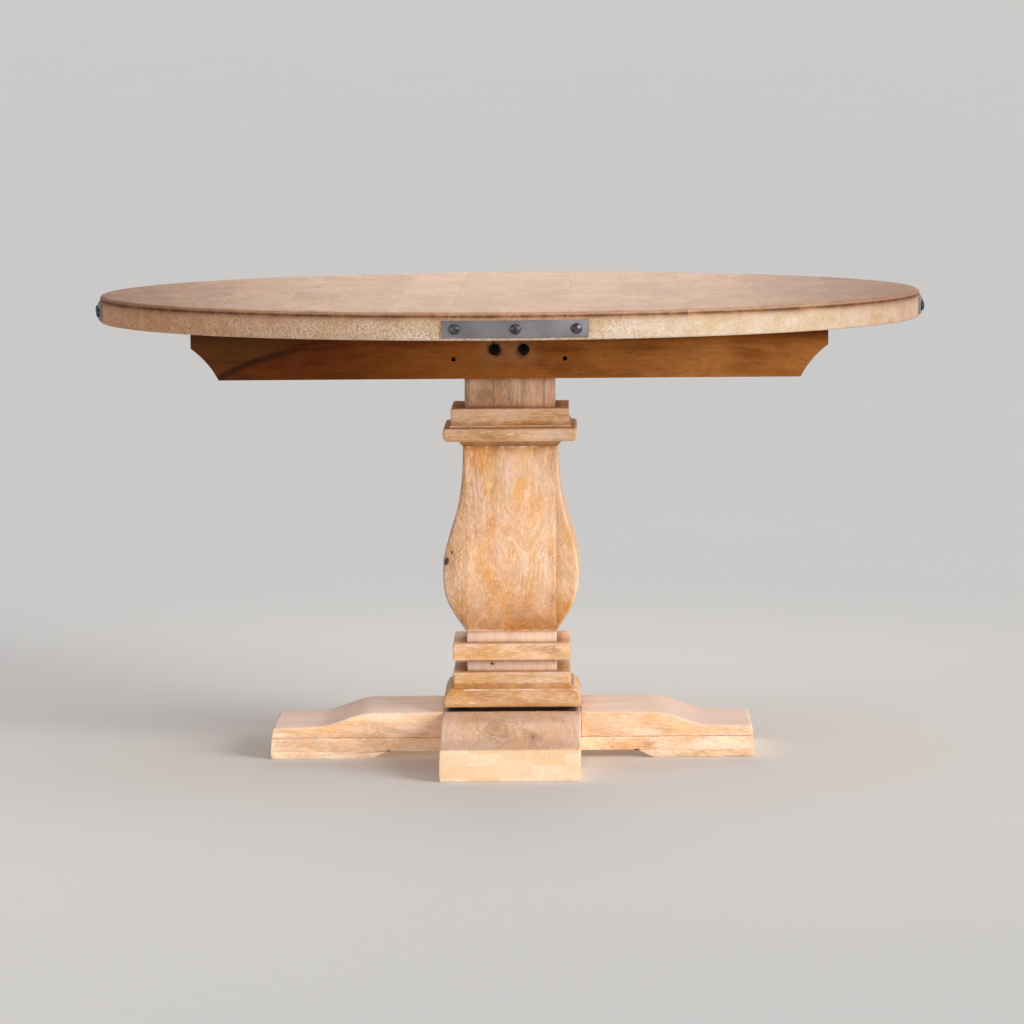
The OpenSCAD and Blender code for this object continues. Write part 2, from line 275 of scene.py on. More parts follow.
def rim_profile():
    """Radius and height down the rim: a soft lip, a narrow quirk, the upright face, a lower arris.
    Gives the points, their outward directions and at each the wear and painted light; the dark lip
    and quirk are partly dirt in the groove and partly painted shade under the lip."""
    turn = np.linspace(0, math.pi / 2, 8)
    lip = np.stack([TOP_R - 7 * MM + 6.4 * MM * np.sin(turn), TOP_HIGH - 5.4 * MM * (1 - np.cos(turn))], 1)
    quirk = np.array([[TOP_R - 1.9 * MM, TOP_HIGH - 6.3 * MM], [TOP_R - 1.9 * MM, TOP_HIGH - 6.9 * MM],
                      [TOP_R - 0.3 * MM, TOP_HIGH - 7.9 * MM], [TOP_R, TOP_HIGH - 8.6 * MM]])
    face = np.stack([np.full(4, TOP_R), np.linspace(TOP_HIGH - 14 * MM, TOP_LOW + 4 * MM, 4)], 1)
    foot = np.stack([TOP_R - 3 * MM * (1 - np.cos(turn[:6] * 1.4)),
                     TOP_LOW + 3 * MM * (1 - np.sin(turn[:6] * 1.4))], 1)
    line = np.concatenate([lip, quirk, face, foot])
    # The lip and quirk are darkened, partly as dirt in the groove and partly as painted shade under the lip.
    painted_light_and_wear = np.concatenate([[0, 0, 0.1, -0.15, -0.4, -0.65, -0.85, -1], [-1, -1, -1, -0.9], [-0.3, 0, 0, 0],
                           np.full(6, 0.3)])
    slope = np.gradient(line, axis=0)
    out = np.stack([-slope[:, 1], slope[:, 0]], 1)
    return line, out / np.linalg.norm(out, axis=1, keepdims=True), painted_light_and_wear


def top_board(number, name):
    """Sections across the top, each a loop down the front rim, under, up the rear rim and back.
    In the two outer boards the sections run out to the rim itself."""
    low, high = corners(name)
    line, out, painted_light_and_wear = rim_profile()
    first, last = number == 0, number == len(BOARD_NAMES) - 1
    if first or last:
        side = -1 if first else 1
        seam = high[0] if first else low[0]
        swing = np.linspace(math.acos(abs(seam) / TOP_R), 0, 44)
        share = (TOP_R * np.cos(swing) - abs(seam)) / (TOP_R - abs(seam))
        share = np.insert(share, 1, share[1] * 0.02)
        start = np.full(len(share), seam)
        groove = np.where(share <= 0, 1.0, 0.0)
    else:
        side = 0
        near_seam = np.array([0, 0.9, 3]) * MM
        start = np.concatenate([low[0] + near_seam, np.linspace(low[0] + 8 * MM, high[0] - 8 * MM, 15),
                                high[0] - near_seam[::-1]])
        share = np.zeros(len(start))
        groove = np.zeros(len(start))
        groove[[0, -1]] = 1.0
    groove = groove[:, None] * 0.2 * MM
    radius = line[None, :, 0] - groove * np.abs(out[None, :, 0])
    height = line[None, :, 1] - groove * out[None, :, 1]
    across = start[:, None] + share[:, None] * (side * radius - start[:, None])
    forward = -np.sqrt(np.maximum(radius ** 2 - across ** 2, 0))
    front = np.stack([across, forward, height], -1)
    rear = np.stack([across, -forward, height], -1)[:, ::-1]
    step = np.linspace(0, 1, 27)[1:-1][None, :, None]
    under = front[:, -1:] + step * (rear[:, :1] - front[:, -1:])
    over = rear[:, -1:] + step * (front[:, :1] - rear[:, -1:])
    loop = np.concatenate([front, under, rear, over], axis=1)
    none = np.zeros(25)
    shell = Shell()
    shell.sheet(loop, wear_and_painted_light=np.concatenate([painted_light_and_wear, none, painted_light_and_wear[::-1], none])[None], wrap=True)
    if not last:
        shell.lid(loop[-1] if not first else loop[0])
    if not first:
        shell.lid(loop[0])
    made = shell.piece(name + "_planed", [name], WOOD["top"], sharp=50)
    # The board's tone falls from the middle of the top towards both ends as painted shade; the random part
    # is the board's own tone.
    middle = (low[0] + high[0]) / 2 / TOP_R
    tone = 1.5 - 2.6 * middle ** 2 + np.random.default_rng(40 + number).uniform(-0.35, 0.35)
    return grained(made, "y", plank_shift(number), tone, number + 1)


# ---------------------------------------------------------------- edge plates and studs

def edge_plate(side):
    """A flat bar with eased edges, carried along the rim; its section draws in at both ends."""
    half = PLATE_HALF
    ease = 0.5 * MM / TOP_R
    angle = np.concatenate([[-half, -half + ease], np.linspace(-half, half, 49)[1:-1], [half - ease, half]])
    draw_in = np.zeros(len(angle))
    draw_in[[0, -1]] = 0.6 * MM
    box = [(0, PLATE_LOW), (PLATE_T, PLATE_LOW), (PLATE_T, PLATE_HIGH), (0, PLATE_HIGH)]
    section = fillet(box, [0.1 * MM, 0.9 * MM, 0.9 * MM, 0.1 * MM], 5)
    radius = TOP_R + np.maximum(section[None, :, 0] - draw_in[:, None], 0)
    middle = (PLATE_LOW + PLATE_HIGH) / 2
    height = middle + (section[None, :, 1] - middle) * (1 - draw_in[:, None] / (PLATE_HIGH - middle))
    heading = angle[:, None] + PLATE_TURN - math.pi / 2
    points = turned(np.stack([radius * np.cos(heading), radius * np.sin(heading), height], -1), side)
    shell = Shell()
    shell.sheet(points, wrap=True)
    shell.lid(points[0])
    shell.lid(points[-1])
    name = "edge_plate_" + SIDES[side]
    return shell.piece(name + "_bar", [name], STEEL, sharp=50)


def edge_studs():
    """Twelve domes: a short upright skirt, then a flattened dome with a few hammered dips."""
    rise = np.concatenate([[-PLATE_T], np.linspace(0, 1, 14) ** 1.3 * STUD_RISE])
    bulge = np.sqrt(np.clip(1 - (np.clip(rise - 1.1 * MM, 0, None) / (STUD_RISE - 1.1 * MM)) ** 2.3, 0, 1))
    reach = STUD_R * np.concatenate([[0.97, 0.97], bulge[2:]])
    around = np.linspace(0, 2 * math.pi, 33)[:-1]
    shell = Shell()
    for side in range(4):
        for place in (-1, 0, 1):
            heading = PLATE_TURN - math.pi / 2 + (place * STUD_PITCH) / TOP_R
            draw = np.random.default_rng(10 * side + place + 1)
            dips = 1 - 0.035 * np.sin(3 * around[None] + draw.uniform(0, 6)) * (rise[:, None] / STUD_RISE)
            sideways = reach[:, None] * np.cos(around)[None] * dips
            upward = reach[:, None] * np.sin(around)[None] * dips
            away = TOP_R + PLATE_T + rise[:, None] * np.ones_like(dips)
            x = away * math.cos(heading) - sideways * math.sin(heading)
            y = away * math.sin(heading) + sideways * math.cos(heading)
            z = (PLATE_LOW + PLATE_HIGH) / 2 + upward
            points = turned(np.stack([x, y, z], -1), side)
            shell.sheet(points, wrap=True)
            shell.lid(points[0])
    return shell.piece("edge_studs_domed", ["edge_studs"], PEWTER, sharp=60)


# ---------------------------------------------------------------- bearers

def softened(node, radius, material):
    """A closed copy of a sawn piece with all its holes, its edges broken by a small round."""
    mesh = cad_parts[node].data.copy()
    mesh.materials.clear()
    work = bmesh.new()
    work.from_mesh(mesh)
    bmesh.ops.remove_doubles(work, verts=work.verts, dist=1e-5)
    bmesh.ops.dissolve_limit(work, angle_limit=0.02, verts=work.verts, edges=work.edges)
    bmesh.ops.recalc_face_normals(work, faces=work.faces)
    work.to_mesh(mesh)
    work.free()
    made = dressed(node + "_sawn", mesh, [node], material, 30)
    round_over = made.modifiers.new("broken edges", "BEVEL")
    round_over.width = radius
    round_over.segments = 3
    round_over.limit_method = "ANGLE"
    round_over.angle_limit = math.radians(40)
    made.data.attributes.new("wear_and_painted_light", "FLOAT", "POINT")
    return made


# ---------------------------------------------------------------- column

def square_post(shell, half, height, round_by, wear_and_painted_light=0.0):
    """Square rings with rounded corners, one above the other; half widths and heights are arrays."""
    square = np.array([(-1, -1), (1, -1), (1, 1), (-1, 1)], float)
    rings = [fillet(square * wide, round_by, 5) for wide in half]
    points = np.stack([
        np.column_stack([ring, np.full(len(ring), tall)]) for ring, tall in zip(rings, height)])
    shell.sheet(points, wear_and_painted_light=wear_and_painted_light, wrap=True)
    shell.lid(points[0])
    shell.lid(points[-1])


def column_core():
    """The post: a tenon into the feet, then the square shaft up to the boards."""
    low, high = corners("column_core")
    shell = Shell()
    square_post(shell, [40 * MM] * 3, np.linspace(low[2], BEAM_TOP, 3), 2 * MM)
    ledges = [BEAM_TOP, *span("plinth_band_front"), span("plinth_moulding_front")[1], VASE_LOW,
              span("cap_moulding_front")[1], span("bearer_front")[0]]
    near = np.add.outer(ledges, np.array([-7, -3, -1, 0, 1, 3, 7]) * MM).ravel()
    rows = np.unique(np.clip(np.concatenate([near, np.linspace(BEAM_TOP, high[2], 30)]), BEAM_TOP, high[2]))
    gap = np.abs(rows[:, None] - np.array(ledges)).min(1)
    # Darker close to each ledge: dirt and painted shade where the mouldings and the bearer meet the post.
    square_post(shell, [CORE_HALF] * len(rows), rows, 2.6 * MM, wear_and_painted_light=-np.exp(-gap / (2.5 * MM))[:, None])
    made = shell.piece("column_core_planed", ["column_core"], WOOD["core"])
    return grained(made, "z", (4.2, 0.03, 0.06), 0.1)


def baluster_width(height):
    """Half width of the baluster: a slow swell from the neck to the belly, a quick return below."""
    foot, belly_at = VASE_LOW, VASE_LOW + BELLY_UP
    run = np.linspace(0, 1, 60)

    def bend(p):
        p = np.array(p)
        return ((1 - run) ** 3)[:, None] * p[0] + (3 * (1 - run) ** 2 * run)[:, None] * p[1] \
            + (3 * (1 - run) * run ** 2)[:, None] * p[2] + (run ** 3)[:, None] * p[3]

    upper = bend([(NECK, COLLAR_LOW), (NECK, COLLAR_LOW - 135 * MM),
                  (BELLY, belly_at + 70 * MM), (BELLY, belly_at)])
    lower = bend([(BELLY, belly_at), (BELLY, belly_at - 44 * MM),
                  (CORE_HALF + 27 * MM, foot + 42 * MM), (CORE_HALF + 0.5 * MM, foot)])
    whole = np.concatenate([upper, lower[1:]])[::-1]
    return np.interp(height, whole[:, 1], whole[:, 0])


def baluster_cheek(side):
    """Front and rear: the swelling face of a plank as wide as the core. Left and right: the
    swelling face and both corners, each corner an arc of a few millimetres."""
    rows = 72
    height = np.linspace(VASE_LOW, VASE_HIGH, rows)
    half = baluster_width(height)
    shell = Shell()
    groove = 0.4 * MM
    if side % 2 == 0:
        between = np.linspace(-CORE_HALF, CORE_HALF, 25)[1:-1]
        x = np.concatenate([[-CORE_HALF, -CORE_HALF + groove * 2], between,
                            [CORE_HALF - groove * 2, CORE_HALF]])
        sunk = np.zeros(len(x))
        sunk[[0, -1]] = groove
        face = np.stack([np.broadcast_to(x, (rows, len(x))),
                         -np.maximum(half[:, None] - sunk, CORE_HALF + 0.1 * MM),
                         np.broadcast_to(height[:, None], (rows, len(x)))], -1)
        back = face[:, ::-1].copy()
        back[..., 1] = -CORE_HALF
        loop = np.concatenate([face, back], axis=1)
        painted_light_and_wear = np.zeros(loop.shape[1])
    else:
        turn = np.linspace(0, math.pi / 2, 7)
        soft = np.minimum(5.5 * MM, 0.9 * (half - CORE_HALF))[:, None]
        inner = CORE_HALF + np.minimum(groove * 2, 0.3 * (half - CORE_HALF))[:, None]
        flat = np.linspace(-1, 1, 23)[1:-1][None]
        corner_x = half[:, None] - soft + soft * np.sin(turn)[None]
        corner_y = -half[:, None] + soft - soft * np.cos(turn)[None]
        seam = np.full((rows, 1), CORE_HALF)
        halfway = (inner + half[:, None] - soft) / 2
        x = np.concatenate([seam, inner, halfway, corner_x, np.repeat(half[:, None], 21, 1),
                            corner_x[:, ::-1], halfway, inner, seam], axis=1)
        y_front = -half[:, None]
        y = np.concatenate([y_front + groove, y_front, y_front, corner_y, (half[:, None] - soft) * flat,
                            -corner_y[:, ::-1], -y_front, -y_front, -y_front - groove], axis=1)
        loop = turned(np.stack([y, -x, np.broadcast_to(height[:, None], x.shape)], -1), side)
        if side == 3:
            loop = loop[:, ::-1]
        bump = np.sin(2 * turn)
        painted_light_and_wear = np.concatenate([[0, 0, 0], bump, np.zeros(21), bump[::-1], [0, 0, 0]])
    if side == 2:
        loop = turned(loop, 2)
    # Painted shade: darker just under the collar, and at the foot of the baluster where its face turns
    # downwards.
    crease_shade = 0.9 * np.exp((height - COLLAR_LOW) / (7 * MM)) + 0.62 * np.exp((VASE_LOW - height) / (30 * MM))
    crease_shade[0] = -0.8
    shell.sheet(loop, wear_and_painted_light=np.clip(0.5 * painted_light_and_wear[None] - crease_shade[:, None], -1, 1), wrap=True)
    shell.lid(loop[0])
    shell.lid(loop[-1])
    name = "baluster_cheek_" + SIDES[side]
    made = shell.piece(name + "_shaped", [name], WOOD["column"])
    # The left cheek's low tone is painted shade on the side turned away from the lamps.
    return grained(made, "z", plank_shift(60 + side), (0.05, -0.35, 0.0, -0.75)[side])


def mitred_moulding(name, side, profile, painted_light_and_wear, round_by, seed):
    """A profile of [distance out, height] carried along one side of the square. Each end turns
    through an eighth of a circle up to the mitre, so that the corner is softly rounded."""
    distance, height = profile[:, 0], profile[:, 1]
    turn = np.linspace(math.pi / 4, 0, 5)
    soft = np.minimum(round_by, np.maximum(distance - CORE_HALF, 0) * 0.9)[:, None]
    end_x = distance[:, None] - soft + soft * np.sin(turn)[None]
    end_y = -distance[:, None] + soft - soft * np.cos(turn)[None]
    flat = np.linspace(1, -1, 21)[1:-1][None]
    x = np.concatenate([end_x, (distance[:, None] - soft) * flat, -end_x[:, ::-1]], axis=1)
    y = np.concatenate([end_y, np.repeat(-distance[:, None], 19, 1), end_y[:, ::-1]], axis=1)
    points = turned(np.stack([x, y, np.broadcast_to(height[:, None], x.shape)], -1), side)
    shell = Shell()
    shell.sheet(points.transpose(1, 0, 2), wear_and_painted_light=painted_light_and_wear[None], wrap=True)
    shell.lid(points[:, 0])
    shell.lid(points[:, -1])
    node = f"{name}_{SIDES[side]}"
    made = shell.piece(node + "_run", [node], WOOD["moulding"], sharp=55)
    tone = np.random.default_rng(seed).uniform(-0.3, 0.3)
    return grained(made, "x" if side % 2 == 0 else "y", plank_shift(seed), tone)


def bow(centre, radius, start, stop, steps=8):
    """Points on an arc; radius is one number or a pair for an oval, angles in degrees."""
    turn = np.radians(np.linspace(start, stop, steps))
    wide, tall = (radius, radius) if np.isscalar(radius) else radius
    return np.stack([centre[0] + wide * np.cos(turn), centre[1] + tall * np.sin(turn)], 1)


def closed_profile(low, high, *parts):
    """The parts of a profile from the bottom up, closed along the core. Each part comes with its
    wear and painted light: above nought where it is rubbed bright, partly a painted highlight on the
    beads; below nought where dirt settles and shade is painted into hollows, undersides and the
    corners against the core."""
    line = np.concatenate([[[CORE_HALF, low]], *[points for points, wear_and_painted_light in parts], [[CORE_HALF, high]]])
    painted_light_and_wear = np.concatenate([[-1.0], *[np.full(len(points), wear_and_painted_light) for points, wear_and_painted_light in parts], [-1.0]])
    return line, painted_light_and_wear


def cap_profile():
    low, high = span("cap_moulding_front")
    lip = front_of("cap_moulding_front")
    face = lip - 3 * MM
    return closed_profile(
        low, high,
        (bow((lip - 1.2 * MM, low + 1.2 * MM), 1.2 * MM, -90, 0, 4), -0.3),
        (bow((lip - 1.2 * MM, low + 3 * MM), 1.2 * MM, 0, 80, 4), 0.8),
        (bow((face + 3.4 * MM, low + 9 * MM), (3.4 * MM, 5 * MM), 255, 180, 6), -0.35),
        ([[face, low + 13 * MM], [face, high - 6 * MM]], 0.0),
        (bow((face - 2.4 * MM, high - 2.4 * MM), 2.4 * MM, 0, 90, 5), 0.6))


def collar_profile():
    low, high = span("collar_moulding_front")
    nose = front_of("collar_moulding_front")
    under = low + 9 * MM
    return closed_profile(
        low, high,
        ([[NECK + 0.4 * MM, low], [NECK + 1.6 * MM, low + 1.6 * MM]], -1.0),
        (bow((NECK + 12 * MM, low), 9 * MM, 160, 98, 7), -0.7),
        (bow((nose - 8 * MM, under + 9 * MM), (8 * MM, 9 * MM), -86, 0, 9), 0.0),
        ([[nose, high - 9 * MM]], 0.0),
        (bow((nose - 5 * MM, high - 5 * MM), (5 * MM, 5 * MM), 0, 60, 5), 0.3),
        (bow((nose - 5 * MM, high - 5 * MM), (5 * MM, 5 * MM), 75, 90, 2), -0.5))


def band_profile():
    low, high = span("plinth_band_front")
    face = front_of("plinth_band_front")
    return closed_profile(
        low, high,
        (bow((face - 2 * MM, low + 2 * MM), 2 * MM, -90, 0, 5), 0.5),
        ([[face, low + 6 * MM], [face, high - 6 * MM]], 0.0),
        (bow((face - 2.6 * MM, high - 2.6 * MM), 2.6 * MM, 0, 90, 6), 0.7))


def plinth_profile():
    low, high = span("plinth_moulding_front")
    wide = front_of("plinth_moulding_front")
    fascia = front_of("plinth_band_front")
    ledge = low + 26.5 * MM
    run = np.linspace(0, 1, 9)
    hollow = np.stack([wide - 7 * MM * run ** 1.6, low + 8 * MM + 17 * MM * run], 1)
    return closed_profile(
        low, high,
        (bow((wide - 1.6 * MM, low + 1.6 * MM), 1.6 * MM, -90, 0, 4), -0.4),
        (hollow, -0.12),
        (bow((fascia + 3.8 * MM, ledge + 1.2 * MM), 1.2 * MM, -60, 60, 5), 1.0),
        (bow((fascia + 6 * MM, ledge + 9.5 * MM), (6 * MM, 6.5 * MM), 262, 180, 7), -0.5),
        ([[fascia, ledge + 14 * MM], [fascia, high - 6 * MM]], 0.2),
        (bow((fascia - 2 * MM, high - 2 * MM), 2 * MM, 0, 90, 5), 0.6))


# ---------------------------------------------------------------- feet

def end_line(height):
    """How far out the raked end of a foot stands at this height."""
    return REACH - 4 * MM * (height - PAD_TOP) / TOE_TOP


def beam_top_line(start, stop, count):
    """Top of a beam from start to stop: level, then an S down to the toe, then almost level."""
    away = np.linspace(start, stop, count)
    share = np.clip((away - OGEE_IN) / (OGEE_OUT - OGEE_IN), 0, 1)
    drop = (BEAM_TOP - TOE_TOP) * share ** 2 * (3 - 2 * share)
    toe = TOE_DROP * np.clip((away - OGEE_OUT) / (REACH - OGEE_OUT), 0, 1)
    return np.stack([away, BEAM_TOP - drop - toe], 1)


def foot_place(side):
    """Turns [out, up, sideways] of one foot into its place in the table."""
    def place(points):
        out, up, sideways = np.moveaxis(np.asarray(points), -1, 0)
        return turned(np.stack([sideways, -out, up], -1), side)
    return place


def toe_layer(inner):
    """Outline of the upper layer of one foot, seen from the side, with its arris radii and wear."""
    tip = end_line(TOE_TOP - TOE_DROP) - 0.2 * MM
    top = beam_top_line(inner, tip, 46)
    end = (end_line(LAM_TOP), LAM_TOP)
    head = fillet([top[-2], top[-1], end], 5 * MM, 6)[6:12]
    outline = np.concatenate([[[inner, LAM_TOP]], [end], head[::-1], top[:-1][::-1]])
    arris = np.concatenate([[0.9, 0.9], np.full(len(head), 4), np.full(len(top) - 1, 3.2)]) * MM
    rubbed = np.concatenate([[-1, -1], np.full(len(outline) - 2, 0.6)])
    return outline, arris, rubbed


def straight_layer(inner):
    """The same for the lower layer, whose top and bottom are level."""
    outline = np.array([(inner, PAD_TOP), (end_line(PAD_TOP), PAD_TOP), (end_line(LAM_TOP), LAM_TOP),
                        (inner, LAM_TOP)])
    return outline, np.array([0.3, 0.3, 0.8, 0.8]) * MM, [-0.4, -0.4, -1, -1]


def foot_laminations():
    """The lapped cross: each layer is a bar across its foot, its ends raked. A layer that serves
    two feet starts at the middle, one that serves a single foot starts beside the other beam."""
    # The raised tones of cross_beam_upper_left and cross_beam_lower are painted light, lifting the left
    # foot's sides that the lamps leave darker.
    builds = (
        ("long_beam_upper", (0, 2), toe_layer, 80, 0.1),
        ("cross_beam_upper_right", (1,), toe_layer, 81, 0.15),
        ("cross_beam_upper_left", (3,), toe_layer, 82, 0.6),
        ("cross_beam_lower", (1, 3), straight_layer, 90, 0.4),
        ("long_beam_lower_front", (0,), straight_layer, 91, 0.3),
        ("long_beam_lower_rear", (2,), straight_layer, 92, 0.0),
    )
    for node, sides, layer, seed, tone in builds:
        outline, arris, rubbed = layer(0.0 if len(sides) == 2 else BEAM_HALF)
        shell = Shell()
        for side in sides:
            planed_bar(shell, outline, BEAM_HALF, arris, foot_place(side), rubbed)
        made = shell.piece(node + "_planed", [node], WOOD["foot"])
        grained(made, "y" if sides[0] % 2 == 0 else "x", plank_shift(seed), tone)


def foot_pad(side):
    """A pad whose inner end rises in an S, with a rounded lower edge at the toe."""
    run = np.linspace(0, 1, 14)
    heel, tip = -PAD_HEEL, REACH
    rise = np.stack([heel + PAD_RISE * run, PAD_TOP * (1 - run ** 2 * (3 - 2 * run))], 1)
    toe = bow((tip - 3 * MM, 3 * MM), 3 * MM, -90, -8, 6)
    outline = np.concatenate([rise, toe, [[tip, PAD_TOP]]])
    arris = np.concatenate([np.full(14, 2.0), np.full(6, 2.5), [0.4]]) * MM
    arris[0] = 0.4 * MM
    shell = Shell()
    planed_bar(shell, outline, BEAM_HALF, arris, foot_place(side), np.where(arris < 1 * MM, -0.4, 0.4))
    name = "foot_pad_" + SIDES[side]
    made = shell.piece(name + "_planed", [name], WOOD["foot"])
    # The left pad's raised tone is painted light, like that of the left foot's layers.
    tone = (0.35, 0.2, 0.1, 0.6)[side]
    return grained(made, "y" if side % 2 == 0 else "x", plank_shift(100 + side), tone)


# ---------------------------------------------------------------- node graphs

NODES_ACROSS, NODE_WIDE, NODE_TALL = 14, 190, 260
HALF_GREY = (0.5, 0.5, 0.5)


class Graph:
    """Adds nodes to a tree and joins them."""

    def __init__(self, tree):
        self.tree = tree

    def node(self, kind, *values, **settings):
        """A node with these settings, and with these values in its first inputs."""
        made = self.tree.nodes.new(kind)
        for key, value in settings.items():
            setattr(made, key, value)
        for socket, value in zip(made.inputs, values):
            self.feed(socket, value)
        row, column = divmod(len(self.tree.nodes), NODES_ACROSS)
        made.location = (NODE_WIDE * column, -NODE_TALL * row)
        return made

    def feed(self, socket, value):
        if isinstance(value, bpy.types.NodeSocket):
            self.tree.links.new(value, socket)
        else:
            socket.default_value = value

    def math(self, operation, *values, clamp=False):
        return self.node("ShaderNodeMath", *values, operation=operation, use_clamp=clamp).outputs[0]

    def times(self, first, second, clamp=False):
        return self.math("MULTIPLY", first, second, clamp=clamp)

    def plus(self, first, second):
        return self.math("ADD", first, second)

    def minus(self, first, second):
        return self.math("SUBTRACT", first, second)

    def rest(self, value):
        """One minus the value."""
        return self.minus(1.0, value)

    def line(self, start, slope, value):
        """start + slope * value."""
        return self.plus(start, self.times(value, slope))

    def size(self, value):
        return self.math("ABSOLUTE", value)

    def sunken(self, wear_and_painted_light):
        """How far the value lies below nought, where dirt and painted shade darken the creases."""
        return self.math("MAXIMUM", self.times(wear_and_painted_light, -1.0), 0.0)

    def vector(self, operation, *values):
        made = self.node("ShaderNodeVectorMath", *values, operation=operation)
        return made.outputs["Value" if operation == "LENGTH" else "Vector"]

    def split(self, place):
        return tuple(self.node("ShaderNodeSeparateXYZ", place).outputs)

    def mix(self, share, first, second, blend="MIX"):
        made = self.node("ShaderNodeMix", share, data_type="RGBA", blend_type=blend)
        self.feed(made.inputs[6], first)
        self.feed(made.inputs[7], second)
        return made.outputs[2]

    def tinted(self, colour, tint, share=None):
        """The colour multiplied by the tint, or only a share of the way there."""
        whole = self.mix(1.0, colour, tint, "MULTIPLY")
        return whole if share is None else self.mix(share, colour, whole)

    def shaded(self, colour, *channels):
        """The colour with its red, green and blue multiplied by these values."""
        return self.tinted(colour, self.node("ShaderNodeCombineColor", *channels).outputs[0])

    def stretch(self, place, scale, start=(0, 0, 0)):
        """The place scaled, by three numbers or one for all, then moved by start."""
        scale = (scale,) * 3 if np.isscalar(scale) else scale
        return self.node("ShaderNodeMapping", place, start, (0, 0, 0), scale).outputs[0]

    def noise(self, place, detail=2.0, rough=0.5, twist=0.0, colour=False):
        made = self.node("ShaderNodeTexNoise", place)
        settings = {"Scale": 1.0, "Detail": detail, "Roughness": rough, "Distortion": twist}
        for title, value in settings.items():
            made.inputs[title].default_value = value
        return made.outputs["Color" if colour else "Fac"]

    def grit(self, place, scale, detail, rough=0.5, start=(0, 0, 0), **others):
        """Noise on the stretched place."""
        return self.noise(self.stretch(place, scale, start), detail, rough, **others)

    def band(self, value, low, high, smooth=True):
        """0 below low, 1 above high."""
        way = "SMOOTHSTEP" if smooth else "LINEAR"
        return self.node("ShaderNodeMapRange", value, low, high, 0.0, 1.0, interpolation_type=way).outputs[0]

    def attribute(self, name, output="Fac"):
        return self.node("ShaderNodeAttribute", attribute_name=name).outputs[output]

    def place(self):
        """Where each point lies, in the table's own metres."""
        return self.node("ShaderNodeTexCoord").outputs["Object"]

    def group(self, tree, **inputs):
        made = self.node("ShaderNodeGroup", node_tree=tree)
        for name, value in inputs.items():
            self.feed(made.inputs[name], value)
        return made.outputs


def new_group(name, inputs, outputs):
    """An empty node group; inputs and outputs give each socket's title and kind."""
    tree = bpy.data.node_groups.new(name, "ShaderNodeTree")
    for way, sockets in (("INPUT", inputs), ("OUTPUT", outputs)):
        for title, kind in sockets.items():
            tree.interface.new_socket(title, in_out=way, socket_type="NodeSocket" + kind)
    g = Graph(tree)
    return g, g.node("NodeGroupInput").outputs, g.node("NodeGroupOutput").inputs


def rgba(red, green, blue):
    return (red, green, blue, 1.0)


